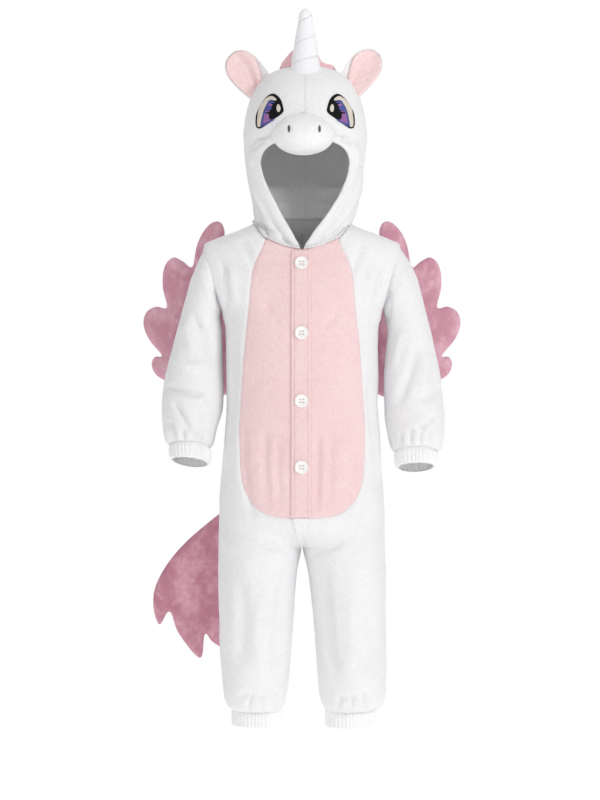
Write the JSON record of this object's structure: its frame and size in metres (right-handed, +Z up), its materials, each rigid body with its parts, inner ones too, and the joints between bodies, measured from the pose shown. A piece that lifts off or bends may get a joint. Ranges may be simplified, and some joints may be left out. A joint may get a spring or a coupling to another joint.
{
  "type": "unicorn onesie",
  "caption": "hooded fleece one-piece worn as a unicorn costume, with a stuffed horn, ears and muzzle, mane, wings, tail, button front and gathered cuffs",
  "frame": {"origin": "middle of the wearer's shoulders at the base of the neck, where the wearer holds the garment up", "axes": "+Z up along the wearer, -Y the way the wearer faces, +X to the wearer's left"},
  "size_m": [0.524, 0.303, 1.141],
  "materials": {
    "white_fleece": "soft white fleece",
    "belly_pink": "soft pale pink fleece",
    "cuff_white": "gathered white fleece over elastic",
    "muzzle_white": "smooth white plush, stuffed",
    "horn_white": "white fleece, stuffed and wound with thread",
    "ear_pink": "pink fleece lining",
    "mane_pink": "rose pink plush, stuffed",
    "wing_rose": "dusty rose plush, stuffed",
    "tail_rose": "dusty rose plush, stuffed",
    "eye_black": "close embroidery",
    "button_white": "white, softly glossy"
  },
  "bodies": {
    "root": {"back_left": "white_fleece", "back_right": "white_fleece", "belly_left": "belly_pink", "belly_right": "belly_pink", "button_1": "button_white", "button_2": "button_white", "button_3": "button_white", "button_4": "button_white", "button_band": "belly_pink", "button_band_end": "white_fleece", "ear_left": "white_fleece", "ear_lining_left": "ear_pink", "ear_lining_right": "ear_pink", "ear_right": "white_fleece", "eye_left": "eye_black", "eye_right": "eye_black", "front_left": "white_fleece", "front_right": "white_fleece", "hood_back_left": "white_fleece", "hood_back_right": "white_fleece", "hood_front": "white_fleece", "horn": "horn_white", "leg_cuff_left": "cuff_white", "leg_cuff_right": "cuff_white", "mane": "mane_pink", "muzzle": "muzzle_white", "sleeve_cuff_left": "cuff_white", "sleeve_cuff_right": "cuff_white", "sleeve_left": "white_fleece", "sleeve_right": "white_fleece", "tail": "tail_rose", "wing_left": "wing_rose", "wing_right": "wing_rose"}
  },
  "joints": []
}
